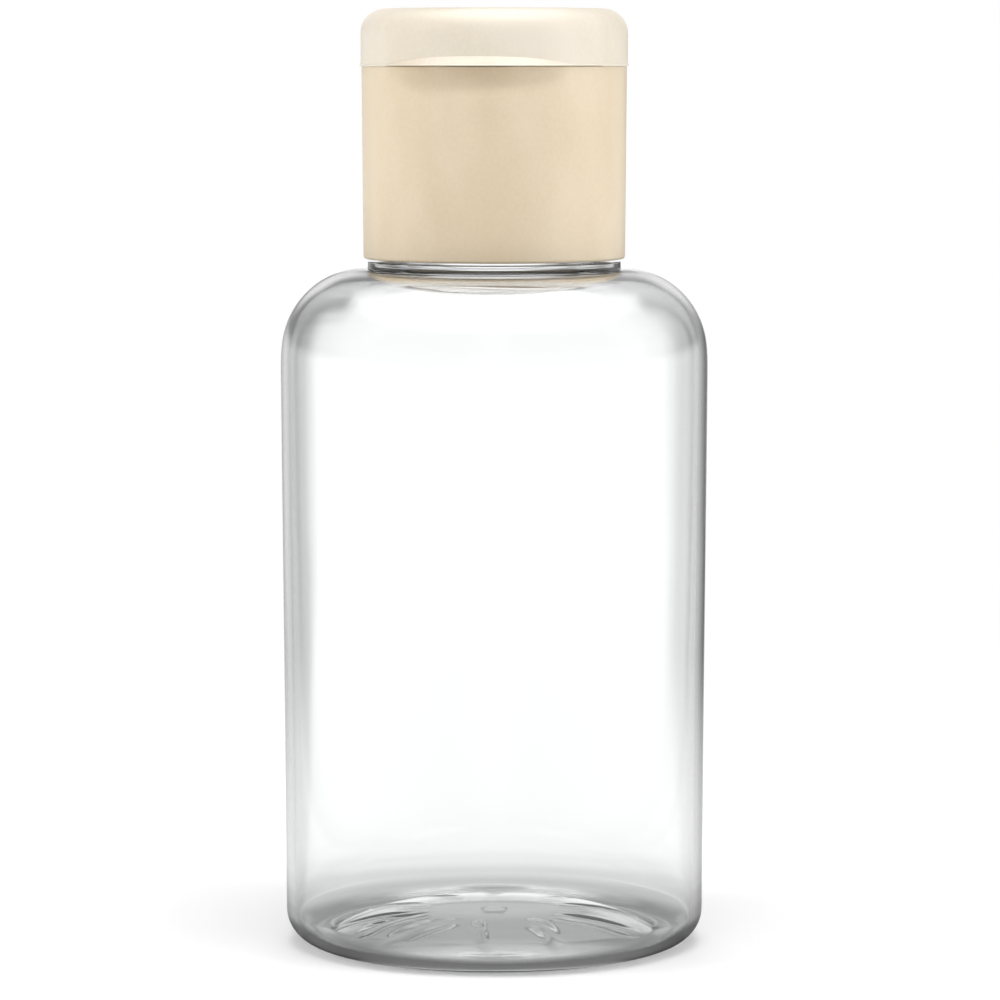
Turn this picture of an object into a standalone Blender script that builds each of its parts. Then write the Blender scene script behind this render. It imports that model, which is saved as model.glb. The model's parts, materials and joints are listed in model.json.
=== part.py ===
"""Flip-top bottle: a clear blown bottle with a screw-on closure, its hinged lid and a liner.

Lengths are in metres and +Z is up. The origin is the centre of the bottle's base. The lid's
thumb lip faces -Y and its hinge is at +Y. The lid is closed and the closure is screwed home.
"""

import math

import bmesh
import bpy
from mathutils import Matrix

OBJECT_NAME = "flip_top_bottle"

# Values that the whole object shares
FACETS = 48
CORNER_STEPS = 4
SHOULDER_STEPS = 9
MERGE_DISTANCE = 0.000001
OVERRUN = 0.002
FIT_GAP = 0.0003
SMOOTH_ANGLE = math.radians(32)

# Bottle body
BODY_RADIUS = 0.02265
BODY_TAPER = 0.0004
BODY_HEIGHT = 0.0719
BODY_WALL = 0.0009
SHOULDER_RADIUS = 0.009
HEEL_RADIUS = 0.0035
STANDING_RING_WIDTH = 0.0013
PUSH_UP_HEIGHT = 0.0024
PUSH_UP_FLATNESS = 4
FLOOR_THICKNESS = 0.0009
GATE_RADIUS = 0.0014
GATE_HEIGHT = 0.00035
NECK_FILLET = 0.0012
DISH_RADIUS_SHARES = (0.96, 0.9, 0.81, 0.7, 0.55, 0.36)

# Neck finish, the size that is sold as 24/410
FINISH_HEIGHT = 0.0177
NECK_RADIUS = 0.0108
BORE_RADIUS = 0.0093
LAND_ROUND = 0.0003
BEAD_RADIUS = 0.0134
BEAD_HEIGHT = 0.0006
BEAD_ROUND = 0.0002
BEAD_ROOT_RADIUS = 0.0128
BEAD_STANDOFF = 0.0001

# Thread, right-handed, on the neck and inside the closure
THREAD_LEAD = 0.003175
THREAD_START_DEPTH = 0.0019
THREAD_EMBED = 0.0003
THREAD_FADE_TURNS = 0.14
NECK_THREAD_TURNS = 1.5
NECK_THREAD_HEIGHT = 0.00114
NECK_THREAD_ROOT_WIDTH = 0.0014
NECK_THREAD_CREST_WIDTH = 0.0006
CLOSURE_THREAD_TURNS = 1.25
CLOSURE_THREAD_ROOT_WIDTH = 0.0011
CLOSURE_THREAD_CREST_WIDTH = 0.0005

# Liner
LINER_THICKNESS = 0.001
LINER_HOLE_RADIUS = 0.0045

# Closure base
THREAD_CLEARANCE = 0.00036
SKIRT_WALL = 0.0017
SKIRT_TAPER = 0.00015
SKIRT_EDGE_ROUND = 0.0003
SKIRT_LEAD_IN = 0.0007
SKIRT_LEAD_IN_DEPTH = 0.0003
DECK_THICKNESS = 0.00125
RIM_ROUND = 0.0003
LOCATING_RING_WALL = 0.0009
LOCATING_RING_HEIGHT = 0.001
LOCATING_RING_ROUND = 0.00025
LOCATING_RING_CLEARANCE = 0.00035
SPOUT_RADIUS = 0.003
SPOUT_HEIGHT = 0.0033
SPOUT_WALL = 0.0008
SPOUT_TIP_THICKNESS = 0.0009
SPOUT_ROUND = 0.0006
ORIFICE_RADIUS = 0.0016
THUMB_RECESS_WIDTH = 0.022
THUMB_RECESS_HEIGHT = 0.0036
THUMB_RECESS_DEPTH = 0.0011

# Lid
PARTING_GAP = 0.0003
LID_OVERHANG = 0.0001
LID_HEIGHT = 0.00575
LID_WALL = 0.0011
LID_TOP_THICKNESS = 0.0013
LID_CORNER_RADIUS = 0.0026
LID_EDGE_ROUND = 0.0002
CEILING_FILLET = 0.0008
PIN_RADIUS = 0.00125
PIN_TAPER = 0.0002
PIN_ENTRY_DEPTH = 0.0012
PIN_TIP_CHAMFER = 0.0004
LIP_WIDTH = 0.0245
LIP_HEIGHT = 0.00095
LIP_DEPTH = 0.00055

# Hinge at the back of the closure
HINGE_LAND_DEPTH = 0.0011
HINGE_LAND_DROP = 0.007
FILM_WIDTH = 0.0026
FILM_HEIGHT = 0.0024
FILM_THICKNESS = 0.0003
FILM_OFFSET = 0.0037
STRAP_WIDTH = 0.0034
STRAP_HEIGHT = 0.0052
STRAP_THICKNESS = 0.0005
STRAP_BULGE = 0.0004

# Places and sizes that follow from those above
BODY_FOOT_RADIUS = BODY_RADIUS - BODY_TAPER
RING_OUTER_RADIUS = BODY_FOOT_RADIUS - HEEL_RADIUS
RING_INNER_RADIUS = RING_OUTER_RADIUS - STANDING_RING_WIDTH
BEAD_TOP_Z = BODY_HEIGHT + BEAD_STANDOFF + BEAD_HEIGHT
LAND_Z = BEAD_TOP_Z + FINISH_HEIGHT
THREAD_TOP_Z = LAND_Z - THREAD_START_DEPTH
NECK_THREAD_RADIUS = NECK_RADIUS + NECK_THREAD_HEIGHT
SKIRT_BORE_RADIUS = NECK_THREAD_RADIUS + THREAD_CLEARANCE
CLOSURE_RADIUS = SKIRT_BORE_RADIUS + SKIRT_WALL
CLOSURE_THREAD_CREST_RADIUS = NECK_RADIUS + THREAD_CLEARANCE
SKIRT_BOTTOM_Z = BEAD_TOP_Z + FIT_GAP
LINER_BOTTOM_Z = LAND_Z + FIT_GAP
LINER_TOP_Z = LINER_BOTTOM_Z + LINER_THICKNESS
DECK_UNDERSIDE_Z = LINER_TOP_Z + FIT_GAP
DECK_Z = DECK_UNDERSIDE_Z + DECK_THICKNESS
SPOUT_TOP_Z = DECK_Z + SPOUT_HEIGHT
PARTING_Z = DECK_Z + PARTING_GAP / 2
LID_BOTTOM_Z = DECK_Z + PARTING_GAP
LID_TOP_Z = LID_BOTTOM_Z + LID_HEIGHT
LID_CEILING_Z = LID_TOP_Z - LID_TOP_THICKNESS
LID_RADIUS = CLOSURE_RADIUS + LID_OVERHANG
LID_BORE_RADIUS = LID_RADIUS - LID_WALL
HINGE_LAND_Y = CLOSURE_RADIUS - HINGE_LAND_DEPTH
LID_BACK_INNER_Y = HINGE_LAND_Y - LID_WALL
LOCATING_RING_RADIUS = LID_BACK_INNER_Y - LOCATING_RING_CLEARANCE
FILM_INNER_Y = HINGE_LAND_Y + FIT_GAP
HINGE_AXIS_Y = FILM_INNER_Y + FILM_THICKNESS / 2


def clear_scene():
    """Remove every object, so that the script starts from an empty scene."""
    for existing in list(bpy.data.objects):
        bpy.data.objects.remove(existing, do_unlink=True)


def new_collection(name):
    """Make a collection and link it to the scene."""
    collection = bpy.data.collections.new(name)
    bpy.context.scene.collection.children.link(collection)
    return collection


def make_material(name, color, roughness, alpha=1.0):
    """Make a Principled material with the piece's colour and roughness.

    An alpha under 1 makes a clear plastic, and it is its strength in the solid view.
    """
    material = bpy.data.materials.new(name)
    material.use_nodes = True
    shader = material.node_tree.nodes["Principled BSDF"]
    shader.inputs["Base Color"].default_value = (*color, 1.0)
    shader.inputs["Roughness"].default_value = roughness
    shader.inputs["Metallic"].default_value = 0.0
    shader.inputs["Transmission Weight"].default_value = 1.0 if alpha < 1.0 else 0.0
    material.diffuse_color = (*color, alpha)
    return material


def arc(center_r, center_z, radius, start_deg, end_deg, steps=CORNER_STEPS):
    """Return the points of an arc in the (r, z) half plane, both ends included."""
    points = []
    for step in range(steps + 1):
        angle = math.radians(start_deg + (end_deg - start_deg) * step / steps)
        points.append((center_r + radius * math.cos(angle), center_z + radius * math.sin(angle)))
    return points


def add_object(name, mesh, collection, material=None):
    """Put a mesh in the scene as a named object."""
    piece = bpy.data.objects.new(name, mesh)
    collection.objects.link(piece)
    if material:
        mesh.materials.append(material)
    return piece


def turned(name, profile, collection, material=None, closed=False):
    """Turn an (r, z) profile about Z with a Screw modifier.

    An open profile starts and ends on the axis, and a closed one goes round a hole.
    """
    mesh = bpy.data.meshes.new(name)
    vertices = [(r, 0.0, z) for r, z in profile]
    edges = [(index, index + 1) for index in range(len(profile) - 1)]
    if closed:
        edges.append((len(profile) - 1, 0))
    mesh.from_pydata(vertices, edges, [])
    piece = add_object(name, mesh, collection, material)
    screw = piece.modifiers.new("turn", "SCREW")
    screw.axis = "Z"
    screw.steps = FACETS
    screw.render_steps = FACETS
    screw.use_merge_vertices = True
    screw.merge_threshold = MERGE_DISTANCE
    screw.use_smooth_shade = True
    return piece


def from_bmesh(name, shape, collection, material=None):
    """Turn a finished bmesh into a named object with outward faces."""
    bmesh.ops.recalc_face_normals(shape, faces=shape.faces)
    mesh = bpy.data.meshes.new(name)
    shape.to_mesh(mesh)
    shape.free()
    return add_object(name, mesh, collection, material)


def box(name, low, high, collection, material=None):
    """Make a box between two corners."""
    size = [top - bottom for bottom, top in zip(low, high)]
    middle = [(bottom + top) / 2 for bottom, top in zip(low, high)]
    shape = bmesh.new()
    bmesh.ops.create_cube(shape, size=1.0, matrix=Matrix.Translation(middle) @ Matrix.Diagonal((*size, 1.0)))
    return from_bmesh(name, shape, collection, material)


def bent_ellipsoid(name, wall_radius, width, depth, height, center_z, collection):
    """Make an ellipsoid that is bent round the closure's wall at its front.

    Its width runs along the wall, its depth is its reach to either side of the wall, and
    its height is its reach above and below center_z.
    """
    shape = bmesh.new()
    bmesh.ops.create_uvsphere(shape, u_segments=FACETS // 2, v_segments=FACETS // 4, radius=1.0)
    for vertex in shape.verts:
        across, out, up = vertex.co
        angle = across * width / 2 / wall_radius
        radius = wall_radius - out * depth
        vertex.co = (radius * math.sin(angle), -radius * math.cos(angle), center_z + up * height)
    return from_bmesh(name, shape, collection)


def thread_ridge(name, wall_radius, crest_radius, widths, turns, top_z, collection):
    """Loft a right-handed thread ridge that fades into its wall at both ends.

    The ridge's middle passes top_z after NECK_THREAD_TURNS, so ridges of unlike length on
    the two threads start from the same helix. Its foot is buried in the wall.
    """
    root_width, crest_width = widths
    outward = math.copysign(1.0, crest_radius - wall_radius)
    foot_radius = wall_radius - outward * THREAD_EMBED
    buried_radius = wall_radius - outward * THREAD_EMBED / 2
    steps = round(turns * FACETS)
    shape = bmesh.new()
    sections = []
    for step in range(steps + 1):
        turn = step / FACETS
        fade = min(1.0, turn / THREAD_FADE_TURNS, (turns - turn) / THREAD_FADE_TURNS)
        tip_radius = buried_radius + (crest_radius - buried_radius) * max(fade, 0.0)
        middle_z = top_z + (turn - NECK_THREAD_TURNS) * THREAD_LEAD
        corners = (
            (foot_radius, -root_width / 2),
            (tip_radius, -crest_width / 2),
            (tip_radius, crest_width / 2),
            (foot_radius, root_width / 2),
        )
        angle = math.tau * turn
        section = []
        for radius, rise in corners:
            place = (radius * math.cos(angle), radius * math.sin(angle), middle_z + rise)
            section.append(shape.verts.new(place))
        sections.append(section)
    for near, far in zip(sections, sections[1:]):
        for index in range(len(near)):
            after = (index + 1) % len(near)
            shape.faces.new((near[index], near[after], far[after], far[index]))
    shape.faces.new(sections[0])
    shape.faces.new(sections[-1])
    return from_bmesh(name, shape, collection)


def extruded(name, outline, low_x, high_x, collection, material):
    """Extrude a (y, z) outline along X."""
    shape = bmesh.new()
    face = shape.faces.new([shape.verts.new((low_x, y, z)) for y, z in outline])
    grown = bmesh.ops.extrude_face_region(shape, geom=[face])
    moved = [item for item in grown["geom"] if isinstance(item, bmesh.types.BMVert)]
    bmesh.ops.translate(shape, verts=moved, vec=(high_x - low_x, 0.0, 0.0))
    return from_bmesh(name, shape, collection, material)


def combine(piece, other, operation):
    """Join another shape to a piece, or cut it away, and hide that shape."""
    modifier = piece.modifiers.new(f"{operation.lower()} {other.name}", "BOOLEAN")
    modifier.operation = operation
    modifier.solver = "EXACT"
    modifier.object = other
    other.hide_render = True
    other.display_type = "WIRE"


def smooth_by_angle(piece):
    """Shade a piece smooth, and keep its edges sharp."""
    piece.data.shade_smooth()
    piece.data.set_sharp_from_angle(angle=SMOOTH_ANGLE)


def dish_height(radius):
    """Return how high the base's push-up stands at a radius."""
    share = min(radius / RING_INNER_RADIUS, 1.0)
    return PUSH_UP_HEIGHT * (1.0 - share**PUSH_UP_FLATNESS)


def bottle_profile():
    """Return the bottle's wall, from the middle of its floor up and over the neck, and down."""
    shoulder_r = BODY_RADIUS - SHOULDER_RADIUS
    shoulder_z = BODY_HEIGHT - SHOULDER_RADIUS
    inner_shoulder_z = BODY_HEIGHT - BODY_WALL
    fillet_r = BORE_RADIUS + NECK_FILLET
    fillet_z = inner_shoulder_z + NECK_FILLET
    gate_z = dish_height(GATE_RADIUS)
    dish_radii = [RING_INNER_RADIUS * share for share in DISH_RADIUS_SHARES]

    inside = [(0.0, PUSH_UP_HEIGHT + FLOOR_THICKNESS)]
    inside += [(r, dish_height(r) + FLOOR_THICKNESS) for r in reversed(dish_radii)]
    inside += arc(RING_OUTER_RADIUS, HEEL_RADIUS, HEEL_RADIUS - BODY_WALL, -90, 0)
    inside += arc(shoulder_r, shoulder_z, SHOULDER_RADIUS - BODY_WALL, 0, 90, SHOULDER_STEPS)
    inside += arc(fillet_r, fillet_z, -NECK_FILLET, 90, 0, CORNER_STEPS // 2)

    land_r = NECK_RADIUS - LAND_ROUND
    inner_land_r = BORE_RADIUS + LAND_ROUND
    land_round_z = LAND_Z - LAND_ROUND
    over = arc(inner_land_r, land_round_z, LAND_ROUND, 180, 90, 1)
    over += arc(land_r, land_round_z, LAND_ROUND, 90, 0, 1)

    bead_r = BEAD_RADIUS - BEAD_ROUND
    bead_bottom_z = BODY_HEIGHT + BEAD_STANDOFF
    down = [(NECK_RADIUS, BEAD_TOP_Z)]
    down += arc(bead_r, BEAD_TOP_Z - BEAD_ROUND, BEAD_ROUND, 90, 0, 2)
    down += arc(bead_r, bead_bottom_z + BEAD_ROUND, BEAD_ROUND, 0, -90, 2)
    down += [(BEAD_ROOT_RADIUS, bead_bottom_z), (BEAD_ROOT_RADIUS, BODY_HEIGHT)]
    down += arc(shoulder_r, shoulder_z, SHOULDER_RADIUS, 90, 0, SHOULDER_STEPS)
    down += arc(RING_OUTER_RADIUS, HEEL_RADIUS, HEEL_RADIUS, 0, -90)
    down += [(RING_INNER_RADIUS, 0.0)]
    down += [(r, dish_height(r)) for r in dish_radii]
    down += [(GATE_RADIUS, gate_z), (GATE_RADIUS, gate_z - GATE_HEIGHT), (0.0, gate_z - GATE_HEIGHT)]
    return inside + over + down


def build_bottle(parts, cutters, material):
    """Build the blown bottle with the thread on its neck."""
    bottle = turned("bottle", bottle_profile(), parts, material)
    ridge = thread_ridge(
        "neck_thread",
        NECK_RADIUS,
        NECK_THREAD_RADIUS,
        (NECK_THREAD_ROOT_WIDTH, NECK_THREAD_CREST_WIDTH),
        NECK_THREAD_TURNS,
        THREAD_TOP_Z,
        cutters,
    )
    combine(bottle, ridge, "UNION")
    return bottle


def build_liner(parts, material):
    """Build the sealing liner, a flat washer under the closure's deck."""
    outer = SKIRT_BORE_RADIUS - FIT_GAP
    profile = [
        (outer, LINER_TOP_Z),
        (outer, LINER_BOTTOM_Z),
        (LINER_HOLE_RADIUS, LINER_BOTTOM_Z),
        (LINER_HOLE_RADIUS, LINER_TOP_Z),
    ]
    liner = turned("liner", profile, parts, material, closed=True)
    return liner


def closure_profile():
    """Return the closure base's section: spout, deck, rim, skirt, and back up inside."""
    spout_bore = SPOUT_RADIUS - SPOUT_WALL
    spout_bore_top_z = SPOUT_TOP_Z - SPOUT_TIP_THICKNESS
    spout_edge_r = SPOUT_RADIUS - SPOUT_ROUND
    ring_inner = LOCATING_RING_RADIUS - LOCATING_RING_WALL
    ring_top_z = DECK_Z + LOCATING_RING_HEIGHT
    ring_edge_r = LOCATING_RING_RADIUS - LOCATING_RING_ROUND
    ring_edge_z = ring_top_z - LOCATING_RING_ROUND
    foot_radius = CLOSURE_RADIUS - SKIRT_TAPER

    down = [(ORIFICE_RADIUS, SPOUT_TOP_Z)]
    down += arc(spout_edge_r, SPOUT_TOP_Z - SPOUT_ROUND, SPOUT_ROUND, 90, 0)
    down += [(SPOUT_RADIUS, DECK_Z), (ring_inner, DECK_Z), (ring_inner, ring_top_z)]
    down += arc(ring_edge_r, ring_edge_z, LOCATING_RING_ROUND, 90, 0, 2)
    down += [(LOCATING_RING_RADIUS, DECK_Z)]
    down += arc(CLOSURE_RADIUS - RIM_ROUND, DECK_Z - RIM_ROUND, RIM_ROUND, 90, 0, 2)
    edge_z = SKIRT_BOTTOM_Z + SKIRT_EDGE_ROUND
    down += arc(foot_radius - SKIRT_EDGE_ROUND, edge_z, SKIRT_EDGE_ROUND, 0, -90, 2)
    up = [
        (SKIRT_BORE_RADIUS + SKIRT_LEAD_IN_DEPTH, SKIRT_BOTTOM_Z),
        (SKIRT_BORE_RADIUS, SKIRT_BOTTOM_Z + SKIRT_LEAD_IN),
        (SKIRT_BORE_RADIUS, DECK_UNDERSIDE_Z),
        (spout_bore, DECK_UNDERSIDE_Z),
        (spout_bore, spout_bore_top_z),
        (ORIFICE_RADIUS, spout_bore_top_z),
    ]
    return down + up


def hinge_land_cutter(name, low_z, high_z, cutters):
    """Return the box that cuts the flat hinge land at the back."""
    low = (-CLOSURE_RADIUS - OVERRUN, HINGE_LAND_Y, low_z)
    high = (CLOSURE_RADIUS + OVERRUN, LID_RADIUS + OVERRUN, high_z)
    return box(name, low, high, cutters)


def build_closure_base(parts, cutters, material):
    """Build the skirt, deck and spout, with the thread, thumb recess and hinge land."""
    base = turned("closure_base", closure_profile(), parts, material, closed=True)
    load_side_drop = (NECK_THREAD_ROOT_WIDTH + CLOSURE_THREAD_CREST_WIDTH) / 2 + FIT_GAP
    ridge = thread_ridge(
        "closure_thread",
        SKIRT_BORE_RADIUS,
        CLOSURE_THREAD_CREST_RADIUS,
        (CLOSURE_THREAD_ROOT_WIDTH, CLOSURE_THREAD_CREST_WIDTH),
        CLOSURE_THREAD_TURNS,
        THREAD_TOP_Z - load_side_drop,
        cutters,
    )
    combine(base, ridge, "UNION")
    scoop = bent_ellipsoid(
        "thumb_scoop",
        CLOSURE_RADIUS,
        THUMB_RECESS_WIDTH,
        THUMB_RECESS_DEPTH,
        THUMB_RECESS_HEIGHT,
        DECK_Z,
        cutters,
    )
    combine(base, scoop, "DIFFERENCE")
    land = hinge_land_cutter("base_land_cutter", PARTING_Z - HINGE_LAND_DROP, PARTING_Z + OVERRUN, cutters)
    combine(base, land, "DIFFERENCE")
    return base


def lid_profile():
    """Return the lid's outside, from the middle of its top down and back under it."""
    profile = [(0.0, LID_TOP_Z)]
    corner_z = LID_TOP_Z - LID_CORNER_RADIUS
    profile += arc(LID_RADIUS - LID_CORNER_RADIUS, corner_z, LID_CORNER_RADIUS, 90, 0, 6)
    edge_z = LID_BOTTOM_Z + LID_EDGE_ROUND
    profile += arc(LID_RADIUS - LID_EDGE_ROUND, edge_z, LID_EDGE_ROUND, 0, -90, 2)
    profile += [(0.0, LID_BOTTOM_Z)]
    return profile


def lid_cavity_profile():
    """Return the hollow under the lid, with the sealing pin left standing in it."""
    tip_z = SPOUT_TOP_Z - PIN_ENTRY_DEPTH
    tip_radius = PIN_RADIUS - PIN_TAPER
    below_z = LID_BOTTOM_Z - OVERRUN
    profile = [
        (0.0, tip_z),
        (tip_radius - PIN_TIP_CHAMFER, tip_z),
        (tip_radius, tip_z + PIN_TIP_CHAMFER),
        (PIN_RADIUS, LID_CEILING_Z),
    ]
    fillet_r = LID_BORE_RADIUS - CEILING_FILLET
    profile += arc(fillet_r, LID_CEILING_Z - CEILING_FILLET, CEILING_FILLET, 90, 0, 3)
    profile += [(LID_BORE_RADIUS, below_z), (0.0, below_z)]
    return profile


def build_lid(parts, cutters, material):
    """Build the lid: a hollow cap with a thumb lip in front and a flat land at the back."""
    lid = turned("lid", lid_profile(), parts, material)
    cavity = turned("lid_cavity", lid_cavity_profile(), cutters)
    low = (-LID_RADIUS, LID_BACK_INNER_Y, LID_BOTTOM_Z - OVERRUN * 2)
    high = (LID_RADIUS, LID_RADIUS + OVERRUN, LID_TOP_Z + OVERRUN)
    back_wall = box("lid_back_wall", low, high, cutters)
    combine(cavity, back_wall, "DIFFERENCE")
    combine(lid, cavity, "DIFFERENCE")
    land = hinge_land_cutter("lid_land_cutter", LID_BOTTOM_Z - OVERRUN, LID_TOP_Z + OVERRUN, cutters)
    combine(lid, land, "DIFFERENCE")

    lip = bent_ellipsoid("lid_lip", LID_RADIUS, LIP_WIDTH, LIP_DEPTH, LIP_HEIGHT, LID_BOTTOM_Z, cutters)
    reach = LID_RADIUS + OVERRUN
    low = (-reach, -reach, LID_BOTTOM_Z - LIP_HEIGHT - OVERRUN)
    below = box("below_lip", low, (reach, reach, LID_BOTTOM_Z), cutters)
    combine(lip, below, "DIFFERENCE")
    combine(lid, lip, "UNION")
    return lid


def hinge_film(name, middle_x, parts, material):
    """Build one thin film hinge, a plate across the parting line."""
    low_x = middle_x - FILM_WIDTH / 2
    low = (low_x, FILM_INNER_Y, PARTING_Z - FILM_HEIGHT / 2)
    high = (low_x + FILM_WIDTH, FILM_INNER_Y + FILM_THICKNESS, PARTING_Z + FILM_HEIGHT / 2)
    return box(name, low, high, parts, material)


def hinge_strap(parts, material):
    """Build the middle strap, a bowed band that snaps the lid open or shut."""
    half_height = STRAP_HEIGHT / 2
    bow_radius = (half_height * half_height + STRAP_BULGE * STRAP_BULGE) / (2 * STRAP_BULGE)
    half_angle = math.degrees(math.asin(half_height / bow_radius))
    center_y = FILM_INNER_Y + STRAP_BULGE - bow_radius
    steps = SHOULDER_STEPS - 1
    outline = arc(center_y, PARTING_Z, bow_radius + STRAP_THICKNESS, -half_angle, half_angle, steps)
    outline += arc(center_y, PARTING_Z, bow_radius, half_angle, -half_angle, steps)
    return extruded("hinge_strap", outline, -STRAP_WIDTH / 2, STRAP_WIDTH / 2, parts, material)


def main():
    """Build the whole object."""
    clear_scene()
    parts = new_collection(OBJECT_NAME)
    cutters = new_collection("cutters")
    cutters.hide_render = True

    clear_plastic = make_material("clear_plastic", (0.93, 0.95, 0.95), 0.04, alpha=0.3)
    bottle = build_bottle(parts, cutters, clear_plastic)

    foam = make_material("liner_foam", (0.86, 0.86, 0.84), 0.7)
    liner = build_liner(parts, foam)

    cream = (0.76, 0.64, 0.46)
    base = build_closure_base(parts, cutters, make_material("closure_base", cream, 0.38))
    lid = build_lid(parts, cutters, make_material("lid", cream, 0.38))
    films = [
        hinge_film("hinge_film_left", -FILM_OFFSET, parts, make_material("film_left", cream, 0.4)),
        hinge_film("hinge_film_right", FILM_OFFSET, parts, make_material("film_right", cream, 0.4)),
    ]
    strap = hinge_strap(parts, make_material("strap", cream, 0.4))
    for piece in (bottle, liner, base, lid, strap, *films):
        smooth_by_angle(piece)

    hinge_line = bpy.data.objects.new("lid_hinge_line", None)
    hinge_line.location = (0.0, HINGE_AXIS_Y, PARTING_Z)
    parts.objects.link(hinge_line)
    lid.parent = hinge_line
    lid.matrix_parent_inverse = Matrix.Translation(hinge_line.location).inverted()


if __name__ == "__main__":
    main()
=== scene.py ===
"""Flip-top bottle: its visible pieces, their finishes, the studio and the camera.

Lengths are in metres and +Z is up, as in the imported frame. The origin is the centre of the
bottle's base, the lid's thumb lip faces -Y and its hinge is at +Y.
"""

from __future__ import annotations

import json
import logging
from collections.abc import Callable, Mapping, Sequence
from dataclasses import dataclass
from enum import Enum
from math import atan2, ceil, copysign, cos, exp, hypot, pi, radians, sin, sqrt, tau
from typing import Any

import bmesh
import bpy
from mathutils import Euler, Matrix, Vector, noise

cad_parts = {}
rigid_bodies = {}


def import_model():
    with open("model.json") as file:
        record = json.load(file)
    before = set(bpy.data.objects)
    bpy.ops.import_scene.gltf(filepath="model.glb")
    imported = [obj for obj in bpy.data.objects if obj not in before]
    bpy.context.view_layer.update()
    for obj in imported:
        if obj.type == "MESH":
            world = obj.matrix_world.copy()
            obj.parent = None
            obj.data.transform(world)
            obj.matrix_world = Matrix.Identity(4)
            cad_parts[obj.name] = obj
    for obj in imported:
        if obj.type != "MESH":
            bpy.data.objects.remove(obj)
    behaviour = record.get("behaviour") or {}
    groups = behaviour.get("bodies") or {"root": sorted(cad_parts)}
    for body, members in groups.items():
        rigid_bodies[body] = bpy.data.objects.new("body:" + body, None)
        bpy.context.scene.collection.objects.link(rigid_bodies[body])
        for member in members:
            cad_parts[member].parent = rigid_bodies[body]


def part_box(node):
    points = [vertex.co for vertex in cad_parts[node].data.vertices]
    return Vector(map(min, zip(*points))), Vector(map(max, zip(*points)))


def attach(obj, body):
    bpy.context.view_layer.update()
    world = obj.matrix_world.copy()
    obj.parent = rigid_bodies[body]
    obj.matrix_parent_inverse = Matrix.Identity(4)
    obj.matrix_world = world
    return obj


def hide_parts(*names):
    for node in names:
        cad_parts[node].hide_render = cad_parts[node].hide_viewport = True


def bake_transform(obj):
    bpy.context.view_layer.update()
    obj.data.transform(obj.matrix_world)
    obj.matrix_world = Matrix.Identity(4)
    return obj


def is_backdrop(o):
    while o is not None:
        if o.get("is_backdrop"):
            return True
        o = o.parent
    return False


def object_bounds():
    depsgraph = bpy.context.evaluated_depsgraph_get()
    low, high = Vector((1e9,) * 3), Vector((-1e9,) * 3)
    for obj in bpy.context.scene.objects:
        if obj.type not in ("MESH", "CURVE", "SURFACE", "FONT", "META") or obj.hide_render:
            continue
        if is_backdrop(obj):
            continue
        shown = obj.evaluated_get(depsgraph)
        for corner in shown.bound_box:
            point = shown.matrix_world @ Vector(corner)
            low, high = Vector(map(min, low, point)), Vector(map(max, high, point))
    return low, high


LOG = logging.getLogger("flip_top_bottle")
MERGE_DISTANCE = 1e-7  # vertices nearer than this become one
TOUCHING = 1e-6  # how near counts as on a wall or a plane
SHARP_ANGLE = radians(33)  # edges that bend more are shaded sharp
FRONT = -pi / 2  # direction of the thumb lip
FILM_GAP = 0.0003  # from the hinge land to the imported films
HALF_TURN = 180.0

Point = tuple[float, float]
Color = tuple[float, float, float]
Shell = bmesh.types.BMesh


class Body(Enum):
    """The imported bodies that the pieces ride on."""

    BOTTLE = "bottle"
    LINER = "liner"
    CLOSURE = "closure"
    LID = "lid"


class Slot(Enum):
    """The record's material slots."""

    CLEAR = "clear_plastic"
    CREAM = "cream_plastic"
    FOAM = "liner_foam"


def ease(share: float) -> float:
    """Return a share from 0 to 1 with both ends eased."""
    held = min(max(share, 0.0), 1.0)
    return held * held * (3.0 - 2.0 * held)


def turn_from(middle: float, angle: float) -> float:
    """Return an angle counted from another one, between minus and plus half a turn."""
    return (angle - middle + pi) % tau - pi


def hinge_place() -> Point:
    """Return the y of the hinge land and the height of the parting line."""
    low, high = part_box("hinge_film_left")
    return low.y - FILM_GAP, (low.z + high.z) / 2


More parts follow.
